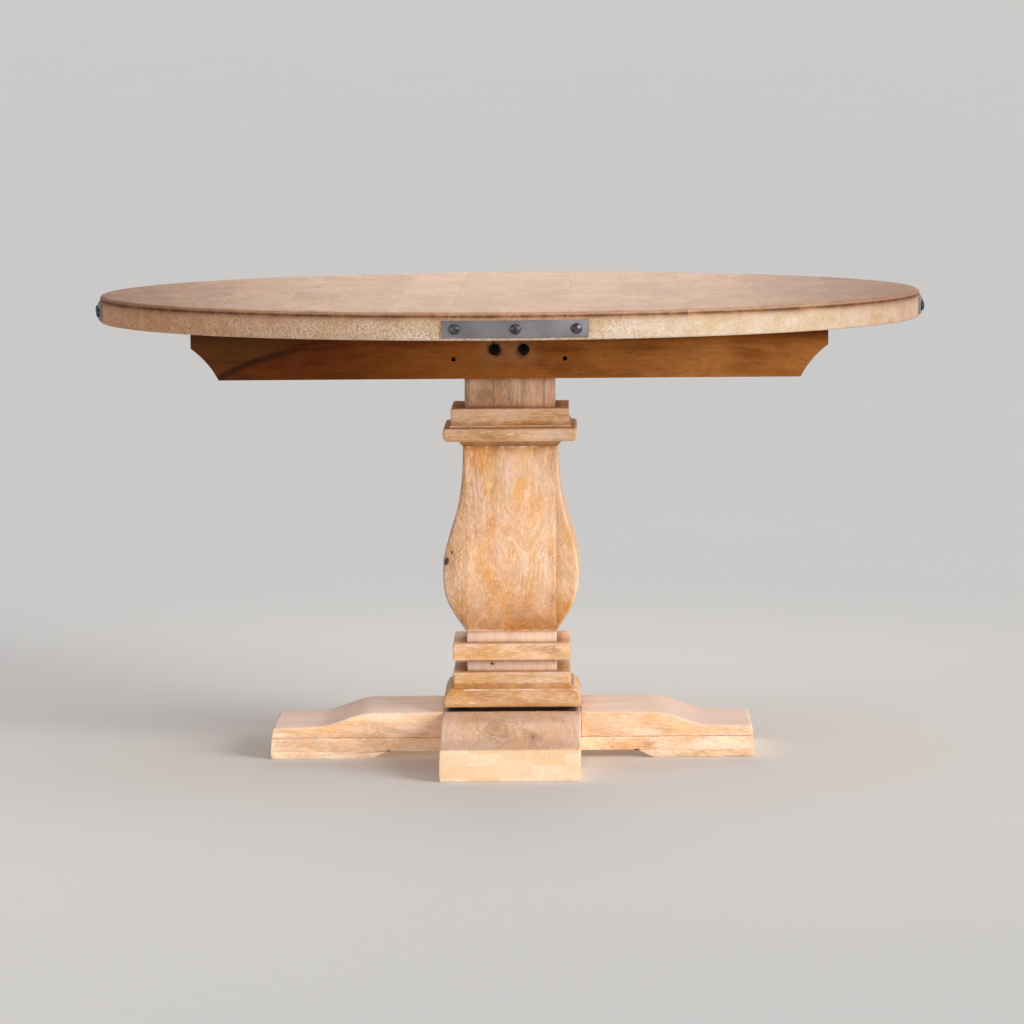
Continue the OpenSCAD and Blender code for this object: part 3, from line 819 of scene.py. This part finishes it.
def mango_group():
    """Mango wood in its own plank coordinates: rings about the heart, drifting patches of gold,
    curly figure, fibres and pores drawn out along the grain, lime left lying in patches and in
    some of the pores, edges rubbed pale, partly as a painted highlight, and creases darkened by dirt and
    painted shade."""
    amounts = ("Tone", "Wear", "Gold", "Lime", "Streaks", "Figure")
    colours = ("Light", "Middle", "Deep", "Golden", "Chalk", "Stain_and_Shade")
    g, given, made = new_group(
        "mango wood",
        {"Grain": "Vector"} | dict.fromkeys(amounts, "Float") | dict.fromkeys(colours, "Color"),
        {"Color": "Color", "Roughness": "Float", "Height": "Float"})
    grain, wear_and_painted_light = given["Grain"], given["Wear"]

    def swayed(place, scale, start, reach):
        drifting = g.grit(grain, scale, 2.0, start=start, colour=True)
        centred = g.vector("SUBTRACT", drifting, HALF_GREY)
        return g.vector("ADD", place, g.vector("MULTIPLY", centred, (0, reach, reach)))

    bent = swayed(grain, (2.6, 8, 8), (0, 0, 0), 0.07)
    curly = swayed(bent, (14, 34, 34), (6, 2, 5), 0.012)
    radius = g.vector("LENGTH", g.vector("MULTIPLY", curly, (0.02, 1, 1)))
    lengthwise = g.split(curly)[0]

    def ring_noise(across, along, detail, rough):
        place = g.node("ShaderNodeCombineXYZ", g.times(radius, across), g.times(lengthwise, along))
        return g.noise(place.outputs[0], detail, rough)

    rings = ring_noise(110, 1.6, 3.0, 0.62)
    figure = ring_noise(480, 9, 2.0, 0.6)
    patches = g.grit(bent, (8.5, 19, 19), 3.5, 0.6, (3, 1, 2), twist=0.5)
    drift = g.grit(bent, (4.5, 12, 12), 3.0, 0.6, (8, 5, 1))
    chalk = g.grit(curly, (11, 30, 30), 5.0, 0.65, (1, 9, 4))
    fibre = g.grit(curly, (22, 560, 560), 2.5, 0.6)
    pores = g.band(g.grit(curly, (70, 900, 900), 1.0, start=(2, 2, 2)), 0.6, 0.72)
    dark_line = g.grit(bent, (1.5, 42, 42), 2.0, start=(4, 7, 9))
    figured = g.band(figure, 0.42, 0.6)

    colour = g.mix(g.band(rings, 0.36, 0.62), given["Deep"], given["Middle"])
    colour = g.mix(g.band(drift, 0.4, 0.62), colour, given["Light"])
    colour = g.mix(g.times(g.band(patches, 0.43, 0.66), given["Gold"]), colour, given["Golden"])
    colour = g.mix(g.times(g.band(dark_line, 0.62, 0.8), given["Streaks"]), colour, given["Stain_and_Shade"])
    limed = g.times(g.band(chalk, 0.42, 0.66), given["Lime"])
    colour = g.mix(g.times(limed, g.line(0.7, 0.3, figured)), colour, given["Chalk"])

    shade = g.times(g.line(0.88, 0.24, fibre), g.line(1.0, 0.3, given["Tone"]))
    shade = g.times(shade, g.line(1.0, 0.3, g.times(g.minus(figured, 0.6), given["Figure"])))
    shade = g.times(shade, g.rest(g.times(pores, 0.25)))
    mottle = g.grit(curly, (90, 190, 190), 4.0, 0.7, (7, 7, 1))
    shade = g.times(shade, g.line(0.7, 0.6, mottle))
    colour = g.shaded(colour, shade, shade, shade)

    filled = g.band(g.grit(curly, (60, 620, 620), 1.0, start=(9, 4, 3)), 0.56, 0.7)
    white = g.tinted(given["Chalk"], rgba(1.14, 1.16, 1.18))
    colour = g.mix(g.times(filled, given["Lime"]), colour, white)
    ragged = g.band(g.grit(grain, 45, 3.0), 0.34, 0.62)
    # Rubbed edges turn pale; on the moulding beads this is partly a painted highlight.
    rub_and_highlight = g.times(g.math("MAXIMUM", wear_and_painted_light, 0.0), ragged)
    colour = g.mix(g.times(rub_and_highlight, 0.75), colour, given["Chalk"])
    # Dirt and painted shade in creases: first an amber tint, then the stain colour.
    dirt_and_shade = g.times(g.sunken(wear_and_painted_light), g.line(0.45, 0.55, ragged))
    colour = g.tinted(colour, rgba(0.97, 0.82, 0.6), g.times(dirt_and_shade, 3.5, clamp=True))
    colour = g.mix(g.times(dirt_and_shade, 0.8), colour, given["Stain_and_Shade"])

    g.feed(made["Color"], colour)
    g.feed(made["Roughness"], g.minus(g.line(0.46, 0.25, chalk), g.times(rub_and_highlight, 0.08)))
    relief = g.plus(g.times(fibre, 0.35), g.times(figure, 0.4))
    g.feed(made["Height"], g.minus(relief, g.times(pores, 0.6)))
    return g.tree


def stave_group():
    """Staves finger-jointed end to end in each board: one random draw for each, and the joints."""
    g, given, made = new_group(
        "staves", {"Place": "Vector", "Number": "Float"},
        {"Tone": "Float", "Shift": "Vector", "Joint": "Float"})
    number = given["Number"]
    board = g.node("ShaderNodeTexWhiteNoise", noise_dimensions="1D")
    g.feed(board.inputs["W"], number)
    length = g.line(0.3, 0.2, board.outputs["Value"])
    run = g.math("DIVIDE", g.plus(g.split(given["Place"])[1], g.times(number, 0.37)), length)
    stave = g.node("ShaderNodeCombineXYZ", g.math("FLOOR", run), number)
    draw = g.node("ShaderNodeTexWhiteNoise", stave.outputs[0], noise_dimensions="2D").outputs
    g.feed(made["Tone"], g.minus(g.times(draw["Value"], 2.0), 1.0))
    centred = g.vector("SUBTRACT", draw["Color"], HALF_GREY)
    g.feed(made["Shift"], g.vector("MULTIPLY", centred, (40, 0.12, 0.12)))
    within = g.math("FRACT", run)
    edge = g.times(g.math("MINIMUM", within, g.rest(within)), length)
    g.feed(made["Joint"], g.rest(g.band(edge, 0.3 * MM, 1.1 * MM)))
    return g.tree


def knot_group():
    """A knot: 1 at its eye, fading outwards in an oval with a ragged edge."""
    g, given, made = new_group(
        "knot", dict.fromkeys(("Place", "Eye", "Size"), "Vector"),
        dict.fromkeys(("Mask", "Halo", "Rings"), "Float"))
    place = given["Place"]
    away = g.vector("DIVIDE", g.vector("SUBTRACT", place, given["Eye"]), given["Size"])
    ragged = g.grit(place, 160, 3.0)
    adrift = g.grit(place, 28, 1.0)
    reach = g.plus(g.vector("LENGTH", away), g.times(g.minus(ragged, 0.5), 0.9))
    reach = g.plus(reach, g.times(g.times(g.minus(adrift, 0.5), 1.4), reach))
    g.feed(made["Mask"], g.rest(g.band(reach, 0.35, 0.95)))
    g.feed(made["Halo"], g.rest(g.band(reach, 0.8, 2.6)))
    circling = g.band(g.math("SINE", g.times(reach, 6.0)), -0.6, 0.8)
    g.feed(made["Rings"], g.times(circling, g.rest(g.band(reach, 1.5, 5.0))))
    return g.tree


MANGO, STAVES, KNOT = mango_group(), stave_group(), knot_group()


def new_material(name, **shader_values):
    """A material with one Principled shader, whose plain values are set on its own sockets."""
    material = bpy.data.materials.new(name)
    material.use_nodes = True
    material.node_tree.nodes.clear()
    g = Graph(material.node_tree)
    shader = g.node("ShaderNodeBsdfPrincipled")
    g.node("ShaderNodeOutputMaterial", shader.outputs[0])
    for key, value in shader_values.items():
        shader.inputs[key.replace("_", " ")].default_value = value
    return material, g, shader


def finish_shader(g, shader, colour, rough, height=None, depth=0.0):
    """Joins the colour, the roughness and a bump of this depth to the shader."""
    g.feed(shader.inputs["Base Color"], colour)
    g.feed(shader.inputs["Roughness"], rough)
    if height:
        bump = g.node("ShaderNodeBump")
        bump.inputs["Strength"].default_value = 1.0
        bump.inputs["Distance"].default_value = depth
        g.feed(bump.inputs["Height"], height)
        g.feed(shader.inputs["Normal"], bump.outputs[0])


# Brown for dark streaks, and for dirt and painted shade in creases.
BROWN_STAIN_AND_SHADE = rgba(0.16, 0.07, 0.03)
DEEP_SHADE = rgba(0.06, 0.022, 0.012)


def wood(name, palette, knots=(), staves=False, relief=0.25 * MM, extra=None, gloss=0.35):
    """One finish of the mango wood. Knots are (eye, size, colour, ring strength) in the table's own
    metres; extra is a last step on the colour that is given the graph, the place and the colour."""
    material, g, shader = new_material(name, Specular_IOR_Level=gloss)
    grain, tone, place = g.attribute("grain", "Vector"), g.attribute("tone"), g.place()
    if staves:
        stave = g.group(STAVES, Place=place, Number=g.attribute("number"))
        grain = g.vector("ADD", grain, stave["Shift"])
        tone = g.plus(g.times(tone, 0.4), g.times(stave["Tone"], 0.32))
    mango = g.group(MANGO, Grain=grain, Tone=tone, Wear=g.attribute("wear_and_painted_light"),
                    **({"Stain_and_Shade": BROWN_STAIN_AND_SHADE} | palette))
    colour = mango["Color"]
    if staves:
        colour = g.mix(g.times(stave["Joint"], 0.15), colour, rgba(0.25, 0.14, 0.09))
    if extra:
        colour = extra(g, place, colour)
    for eye, size, dark, ringed in knots:
        knot = g.group(KNOT, Place=place, Eye=eye, Size=size)
        colour = g.mix(g.times(knot["Rings"], ringed), colour, rgba(0.34, 0.17, 0.075))
        colour = g.mix(g.times(knot["Halo"], 0.3), colour, rgba(0.42, 0.22, 0.1))
        colour = g.mix(knot["Mask"], colour, dark)
    finish_shader(g, shader, colour, mango["Roughness"], mango["Height"], relief)
    return material


def end_grain_rim_and_shade(g, place, colour):
    """The boards are painted a little darker towards both ends, as painted shade. The rim is paler than
    they are, with dark end-grain flecks and yellow blotches; painted shade turns it from brown at the
    left to cream at the right, and it is darker again at the far right."""
    x = g.split(place)[0]
    from_middle = g.vector("LENGTH", g.vector("MULTIPLY", place, (1, 1, 0)))
    outer = g.band(from_middle, TOP_R - 2.6 * MM, TOP_R - 1.2 * MM)
    blotch = g.grit(place, (22, 22, 30), 4.0, 0.65, (5, 3, 2))
    fleck = g.grit(place, (380, 380, 300), 4.0, 0.8)
    pale = g.mix(g.band(blotch, 0.3, 0.7), rgba(0.76, 0.58, 0.42), rgba(0.64, 0.41, 0.22))
    flecked = g.minus(0.85, g.times(g.band(x, 0.0, 0.4), 0.5))
    pale = g.mix(g.times(g.band(fleck, 0.46, 0.6), flecked), pale, rgba(0.27, 0.135, 0.065))
    # Painted shade: the rim is tinted brown at the left and lighter towards the right.
    sideways = g.mix(g.band(x, -0.72, 0.02), rgba(0.92, 0.67, 0.52), rgba(0.94, 1.08, 1.25))
    pale = g.tinted(pale, sideways)
    pale = g.tinted(pale, rgba(0.86, 0.74, 0.72), g.band(x, 0.45, 0.68))
    # Painted shade: the top is darker towards both ends.
    colour = g.tinted(colour, rgba(0.92, 0.82, 0.78), g.band(g.size(x), 0.35, 0.68))
    keep = g.rest(g.sunken(g.attribute("wear_and_painted_light")))
    return g.mix(g.times(g.times(outer, keep), 0.85), colour, pale)


STREAK_HEIGHT, STREAK_SLOPE, STREAK_WANDER = 812 * MM, 0.36, 30 * MM


def heart_streak_and_shade(g, place, colour):
    """Darker at the left, partly heartwood and partly painted shade: a black-brown streak that climbs
    from the lower corner to the upper edge, olive-brown above it, and a slow lightening towards the
    right, up to the last stretch, which is partly the wood's own colour and partly painted light.
    Close under the top a painted shadow of the top darkens the wood. STREAK_HEIGHT is where the
    streak's line would pass the middle of the table."""
    x, _, z = g.split(place)
    wander = g.minus(g.grit(place, (9, 9, 22), 3.0), 0.5)
    climb = g.minus(z, g.line(STREAK_HEIGHT, STREAK_SLOPE, x))
    climb = g.plus(climb, g.times(wander, STREAK_WANDER))
    ending = g.rest(g.band(x, -0.40, -0.28))
    edge = g.rest(g.band(g.size(climb), 0.5 * MM, 9 * MM))
    # Lighter towards the right: partly the wood's own colour, partly painted light.
    shade = g.line(0.38, 0.76, g.band(x, -0.36, 0.34, smooth=False))
    shade = g.minus(shade, g.times(g.band(x, 0.32, 0.45), 0.22))
    # Painted shadow of the top along the upper edge of the bearer.
    shade = g.times(shade, g.rest(g.times(g.band(z, 0.68, 0.722), 0.86)))
    colour = g.shaded(colour, *[g.math("POWER", shade, power) for power in (1.0, 1.5, 2.6)])
    above = g.times(g.band(climb, 0.0, 12 * MM), ending)
    colour = g.mix(g.times(above, 0.45), colour, rgba(0.11, 0.05, 0.012))
    return g.mix(g.times(g.times(edge, ending), 0.8), colour, rgba(0.03, 0.01, 0.003))


def clear_of_wear_and_shade(g):
    """1 on flat faces, less at rubbed edges and at creases darkened by dirt and painted shade."""
    return g.rest(g.times(g.size(g.attribute("wear_and_painted_light")), 0.8))


GLUE_LINES = (-27 * MM, 57 * MM)


def limed_post_and_gap_shade(g, place, colour):
    """The lower end of the post is limed almost to cream; in the gap below the plinth it is painted
    dark, as painted shade. Dark glue lines run up its front."""
    x, _, z = g.split(place)
    for across in GLUE_LINES:
        line = g.rest(g.band(g.size(g.minus(x, across)), 0.4 * MM, 1.6 * MM))
        colour = g.mix(g.times(line, 0.55), colour, rgba(0.2, 0.1, 0.05))
    low = g.times(g.rest(g.band(z, 0.24, 0.4)), clear_of_wear_and_shade(g))
    colour = g.mix(g.times(low, 0.65), colour, rgba(0.91, 0.72, 0.61))
    # Painted shade on the post in the gap below the plinth.
    gap_shade = g.rest(g.band(z, BEAM_TOP + 7 * MM, BEAM_TOP + 10 * MM))
    return g.mix(g.times(gap_shade, 0.9), colour, DEEP_SHADE)


BLOCK_WIDE, BLOCK_TALL = 0.052, 0.019


def limed_feet_and_gap_shade(g, place, colour):
    """Lime lies on top of the feet, most of all at the left and right. Their tops under the column,
    in the gap below the plinth, are painted dark as painted shade. The ends are paler than the
    sides and show the blocks that they are glued from."""
    x, y, _ = g.split(place)
    out = g.math("MAXIMUM", g.size(x), g.size(y))
    upward = g.attribute("upward")
    aside = g.band(g.size(x), BEAM_HALF, BEAM_HALF + 40 * MM)
    colour = g.mix(g.times(upward, g.line(0.16, 0.4, aside)), colour, rgba(0.87, 0.75, 0.74))
    # Painted shade on the tops of the feet under the column, in the gap below the plinth.
    gap_shade = g.times(upward, g.rest(g.band(out, 104 * MM, 112 * MM)))
    colour = g.mix(g.times(gap_shade, 0.9), colour, DEEP_SHADE)
    ends = g.times(g.band(out, REACH - 8 * MM, REACH - 5 * MM), clear_of_wear_and_shade(g))
    fleck = g.band(g.grit(place, (260, 260, 330), 4.0, 0.8), 0.42, 0.64)
    cream = g.mix(g.times(fleck, 0.45), rgba(0.95, 0.76, 0.56), rgba(0.66, 0.42, 0.22))
    cells = (1 / BLOCK_WIDE, 1 / BLOCK_WIDE, 1 / BLOCK_TALL)
    cell = g.vector("FLOOR", g.stretch(place, cells, (0.3, 0.3, 0.6)))
    block = g.node("ShaderNodeTexWhiteNoise", cell, noise_dimensions="3D").outputs["Value"]
    cream = g.mix(g.times(g.band(block, 0.3, 0.9), 0.75), cream, rgba(0.80, 0.52, 0.28))
    return g.mix(g.times(ends, 0.72), colour, cream)


TOP_PALETTE = dict(
    Gold=0.3, Lime=0.5, Streaks=0.25, Figure=0.35,
    Light=rgba(0.47, 0.28, 0.19), Middle=rgba(0.40, 0.22, 0.135), Deep=rgba(0.34, 0.175, 0.11),
    Golden=rgba(0.44, 0.255, 0.13), Chalk=rgba(0.58, 0.385, 0.295), Stain_and_Shade=rgba(0.09, 0.035, 0.016))
COLUMN_PALETTE = dict(
    Gold=0.72, Lime=0.55, Streaks=0.1, Figure=0.4,
    Light=rgba(0.82, 0.54, 0.35), Middle=rgba(0.78, 0.45, 0.23), Deep=rgba(0.56, 0.28, 0.13),
    Golden=rgba(0.80, 0.40, 0.095), Chalk=rgba(0.87, 0.67, 0.55))
CORE_PALETTE = dict(
    Gold=0.2, Lime=0.5, Streaks=0.35, Figure=0.7,
    Light=rgba(0.76, 0.48, 0.30), Middle=rgba(0.64, 0.38, 0.22), Deep=rgba(0.38, 0.20, 0.11),
    Golden=rgba(0.66, 0.36, 0.13), Chalk=rgba(0.82, 0.59, 0.44))
MOULDING_PALETTE = dict(
    Gold=0.7, Lime=0.5, Streaks=0.15, Figure=0.4,
    Light=rgba(0.76, 0.48, 0.27), Middle=rgba(0.68, 0.38, 0.17), Deep=rgba(0.46, 0.23, 0.095),
    Golden=rgba(0.72, 0.37, 0.09), Chalk=rgba(0.83, 0.65, 0.52))
FOOT_PALETTE = dict(
    Gold=0.5, Lime=0.55, Streaks=0.12, Figure=0.45,
    Light=rgba(0.89, 0.62, 0.43), Middle=rgba(0.84, 0.51, 0.30), Deep=rgba(0.64, 0.37, 0.2),
    Golden=rgba(0.86, 0.45, 0.16), Chalk=rgba(0.91, 0.72, 0.58))
BEARER_PALETTE = dict(
    Gold=0.5, Lime=0.0, Streaks=0.4, Figure=0.4,
    Light=rgba(0.46, 0.185, 0.045), Middle=rgba(0.37, 0.135, 0.027), Deep=rgba(0.24, 0.08, 0.015),
    Golden=rgba(0.50, 0.20, 0.04), Chalk=rgba(0.5, 0.3, 0.15), Stain_and_Shade=rgba(0.05, 0.016, 0.004))

BLACK_EYE = rgba(0.05, 0.035, 0.03)
CHEEK_KNOTS = [
    ((-0.107, -0.113, 0.330), (0.008, 0.02, 0.011), BLACK_EYE, 0.3),
    ((-0.098, -0.113, 0.345), (0.003, 0.02, 0.007), BLACK_EYE, 0.0)]
RECESS_MARK = [((-0.033, -0.075, 0.154), (0.0035, 0.01, 0.003), BLACK_EYE, 0.0)]
FOOT_WHORLS = [
    ((-0.024, -0.27, 0.072), (0.013, 0.022, 0.02), rgba(0.62, 0.39, 0.22), 0.3),
    ((0.037, -0.30, 0.068), (0.005, 0.008, 0.012), rgba(0.25, 0.14, 0.07), 0.25)]
BOLT_Z = sum(span("head_bolts")) / 2
# Dark rings round the two bolt heads on the front bearer.
BOLT_DARK_RINGS = [
    ((x, -0.115, BOLT_Z), (0.0145, 0.02, 0.0145), rgba(0.02, 0.01, 0.006), 0.0)
    for x in (-0.0245, 0.0245)]
WOOD = {
    "top": wood("limed boards", TOP_PALETTE, staves=True, extra=end_grain_rim_and_shade, gloss=0.22),
    "column": wood("baluster wood", COLUMN_PALETTE, CHEEK_KNOTS),
    "core": wood("core post wood", CORE_PALETTE, RECESS_MARK, extra=limed_post_and_gap_shade),
    "moulding": wood("moulding wood", MOULDING_PALETTE),
    "foot": wood("foot wood", FOOT_PALETTE, FOOT_WHORLS, extra=limed_feet_and_gap_shade, gloss=0.3),
    "bearer": wood("oiled bearer wood", BEARER_PALETTE, BOLT_DARK_RINGS, relief=0.18 * MM,
                   extra=heart_streak_and_shade, gloss=0.12),
}


def brushed_steel():
    """Blue-grey flat bar: long brush lines along the rim and a cloudy patina."""
    material, g, shader = new_material("brushed plate steel", Metallic=0.9)
    place = g.place()
    lines = g.grit(place, (6, 6, 1500), 2.0, 0.6)
    cloud = g.grit(place, (22, 22, 40), 3.0)
    colour = g.mix(g.band(cloud, 0.3, 0.7), rgba(0.17, 0.165, 0.18), rgba(0.25, 0.24, 0.255))
    colour = g.mix(g.times(lines, 0.3), colour, rgba(0.36, 0.34, 0.35))
    finish_shader(g, shader, colour, g.line(0.38, 0.2, cloud), lines, 0.05 * MM)
    return material


def cloudy_metal(name, dark, light, rough, metallic, gloss=0.5):
    """A finish with cloudy wear and small hammer marks."""
    material, g, shader = new_material(name, Metallic=metallic, Specular_IOR_Level=gloss)
    place = g.place()
    cloud = g.grit(place, 160, 3.0)
    colour = g.mix(g.band(cloud, 0.35, 0.75), dark, light)
    finish_shader(g, shader, colour, g.line(rough, 0.15, cloud), g.grit(place, 320, 1.0), 0.15 * MM)
    return material


STEEL = brushed_steel()
PEWTER = cloudy_metal("pewter stud", rgba(0.05, 0.05, 0.055), rgba(0.14, 0.14, 0.15), 0.25, 0.9)
BLACKED = cloudy_metal("black bolt", rgba(0.002, 0.002, 0.0025), rgba(0.007, 0.007, 0.008), 0.5, 0.0, 0.1)
ZINC = cloudy_metal("zinc plating", rgba(0.42, 0.43, 0.44), rgba(0.58, 0.58, 0.57), 0.3, 0.95)


# ---------------------------------------------------------------- the table

def build_table():
    for number, name in enumerate(BOARD_NAMES):
        top_board(number, name)
    for side in range(4):
        edge_plate(side)
        baluster_cheek(side)
        foot_pad(side)
    edge_studs()
    column_core()
    foot_laminations()
    mouldings = (
        ("cap_moulding", cap_profile(), 2.2 * MM), ("collar_moulding", collar_profile(), 5 * MM),
        ("plinth_band", band_profile(), 2.4 * MM), ("plinth_moulding", plinth_profile(), 3 * MM),
    )
    for kind, (name, (profile, painted_light_and_wear), round_by) in enumerate(mouldings):
        for side in range(4):
            mitred_moulding(name, side, profile, painted_light_and_wear, round_by, 200 + 10 * kind + side)
    for seed, node in enumerate(("bearer_front", "bearer_rear", "head_block_left", "head_block_right")):
        made = softened(node, 2.2 * MM, WOOD["bearer"])
        grained(made, "x" if "bearer" in node else "z", plank_shift(300 + seed), 0.1)
    finishes = {
        BLACKED: ("head_bolts", "head_nuts", "block_screws"),
        ZINC: ("top_screws", "foot_rods", "foot_nuts"),
    }
    for material, names in finishes.items():
        for name in names:
            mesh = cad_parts[name].data
            mesh.materials.clear()
            mesh.materials.append(material)


build_table()


# ---------------------------------------------------------------- studio

FLOOR_R, FLAT_R, FLOOR_RISE = 400, 20, 14


def studio_floor():
    """A wide disc at floor level, pale and slightly mottled, that rises with the square of the
    distance beyond FLAT_R, so that no horizon shows. It is clear from below, and clear to light
    within a hand's breadth, so that the undersides of the feet can be seen."""
    radius = np.concatenate([[0.0, 1, 3, 8], np.geomspace(FLAT_R, FLOOR_R, 14)])[:, None]
    around = np.linspace(0, 2 * math.pi, 49)[None, :-1]
    rise = FLOOR_RISE * (np.maximum(radius - FLAT_R, 0) / (FLOOR_R - FLAT_R)) ** 2 + 0 * around
    points = np.stack([radius * np.cos(around), radius * np.sin(around), rise], -1)
    faces = quads(*points.shape[:2], True)[:, [0, 3, 2, 1]]
    mesh = bpy.data.meshes.new("studio_floor")
    mesh.from_pydata(points.reshape(-1, 3), [], faces.tolist())
    material, g, shader = new_material("pale floor", Specular_IOR_Level=0.2)
    cloud = g.grit(g.place(), 0.7, 2.0)
    colour = g.mix(cloud, rgba(0.745, 0.745, 0.745), rgba(0.765, 0.765, 0.765))
    finish_shader(g, shader, colour, g.line(0.8, 0.1, cloud))
    path = g.node("ShaderNodeLightPath").outputs
    close = g.math("LESS_THAN", path["Ray Length"], 50 * MM)
    close = g.times(close, g.rest(path["Is Camera Ray"]))
    from_below = g.node("ShaderNodeNewGeometry").outputs["Backfacing"]
    clear = g.node("ShaderNodeBsdfTransparent").outputs[0]
    sided = g.node("ShaderNodeMixShader", g.math("MAXIMUM", from_below, close), shader.outputs[0], clear)
    out = next(node for node in g.tree.nodes if node.type == "OUTPUT_MATERIAL")
    g.feed(out.inputs[0], sided.outputs[0])
    mesh.materials.append(material)
    placed("studio_floor", mesh)


def soft_light(name, place, aim, size, power, colour=(1, 1, 1)):
    """A rectangular soft box that faces the aim."""
    lamp = bpy.data.lights.new(name, "AREA")
    lamp.shape = "RECTANGLE"
    lamp.size, lamp.size_y = size
    lamp.energy = power
    lamp.color = colour
    lamp.spread = math.radians(70)
    made = placed(name, lamp)
    away = np.array(place, float) - np.array(aim, float)
    away /= np.linalg.norm(away)
    right = np.cross((0, 0, 1), away)
    right /= np.linalg.norm(right)
    up = np.cross(away, right)
    turn = Matrix([[right[i], up[i], away[i]] for i in range(3)]).to_4x4()
    made.matrix_world = Matrix.Translation(place) @ turn
    made.visible_camera = False


def window_light(name, sideways, height, width, power, colour):
    """A broad even light from far away: degrees to the right, degrees up, degrees across."""
    lamp = bpy.data.lights.new(name, "SUN")
    lamp.angle = math.radians(width)
    lamp.energy = power
    lamp.color = colour
    made = placed(name, lamp)
    made.rotation_euler = (math.radians(90 - height), 0, math.radians(sideways))


def studio():
    studio_floor()
    world = bpy.data.worlds.new("studio")
    bpy.context.scene.world = world
    world.use_nodes = True
    g = Graph(world.node_tree)
    sky = world.node_tree.nodes["Background"]
    sideways = g.split(g.node("ShaderNodeTexCoord").outputs["Generated"])[0]
    g.feed(sky.inputs[0], rgba(1.0, 0.99, 0.99))
    g.feed(sky.inputs[1], g.line(0.36, 0.38, g.band(sideways, -0.8, 0.8)))
    window_light("window", 50, 16, 34, 2.75, (1.0, 0.95, 0.88))
    soft_light("fill", (-3.4, -3.8, 1.3), (0, 0, 0.35), (2.2, 2.0), 6, (1.0, 0.96, 0.92))
    soft_light("behind", (0, 3.6, 1.9), (0, 0, 0.77), (1.2, 1.0), 4, (1.0, 0.86, 0.72))


LENS_MM, LOOK_DOWN, LOOK_ROUND, LOOK_ROLL = 191.7, 5.15, 0.8, -0.008
STAND = (0.0009, -9.13, 1.2245)


def camera():
    """A long lens about nine metres away, looking slightly down, swung a little to the right about
    the table (both in degrees), with the view rolled by half a degree (in radians)."""
    lens = bpy.data.cameras.new("camera")
    lens.lens = LENS_MM
    lens.sensor_width = 36
    lens.clip_end = 1000
    made = placed("camera", lens)
    look = Euler((math.radians(90 - LOOK_DOWN), 0, 0)).to_matrix().to_4x4()
    swing = Matrix.Rotation(math.radians(LOOK_ROUND), 4, "Z")
    stand = Matrix.Translation(STAND)
    made.matrix_world = swing @ stand @ look @ Matrix.Rotation(LOOK_ROLL, 4, "Z")
    bpy.context.scene.camera = made
    bpy.context.scene.view_settings.view_transform = "Standard"


studio()
camera()
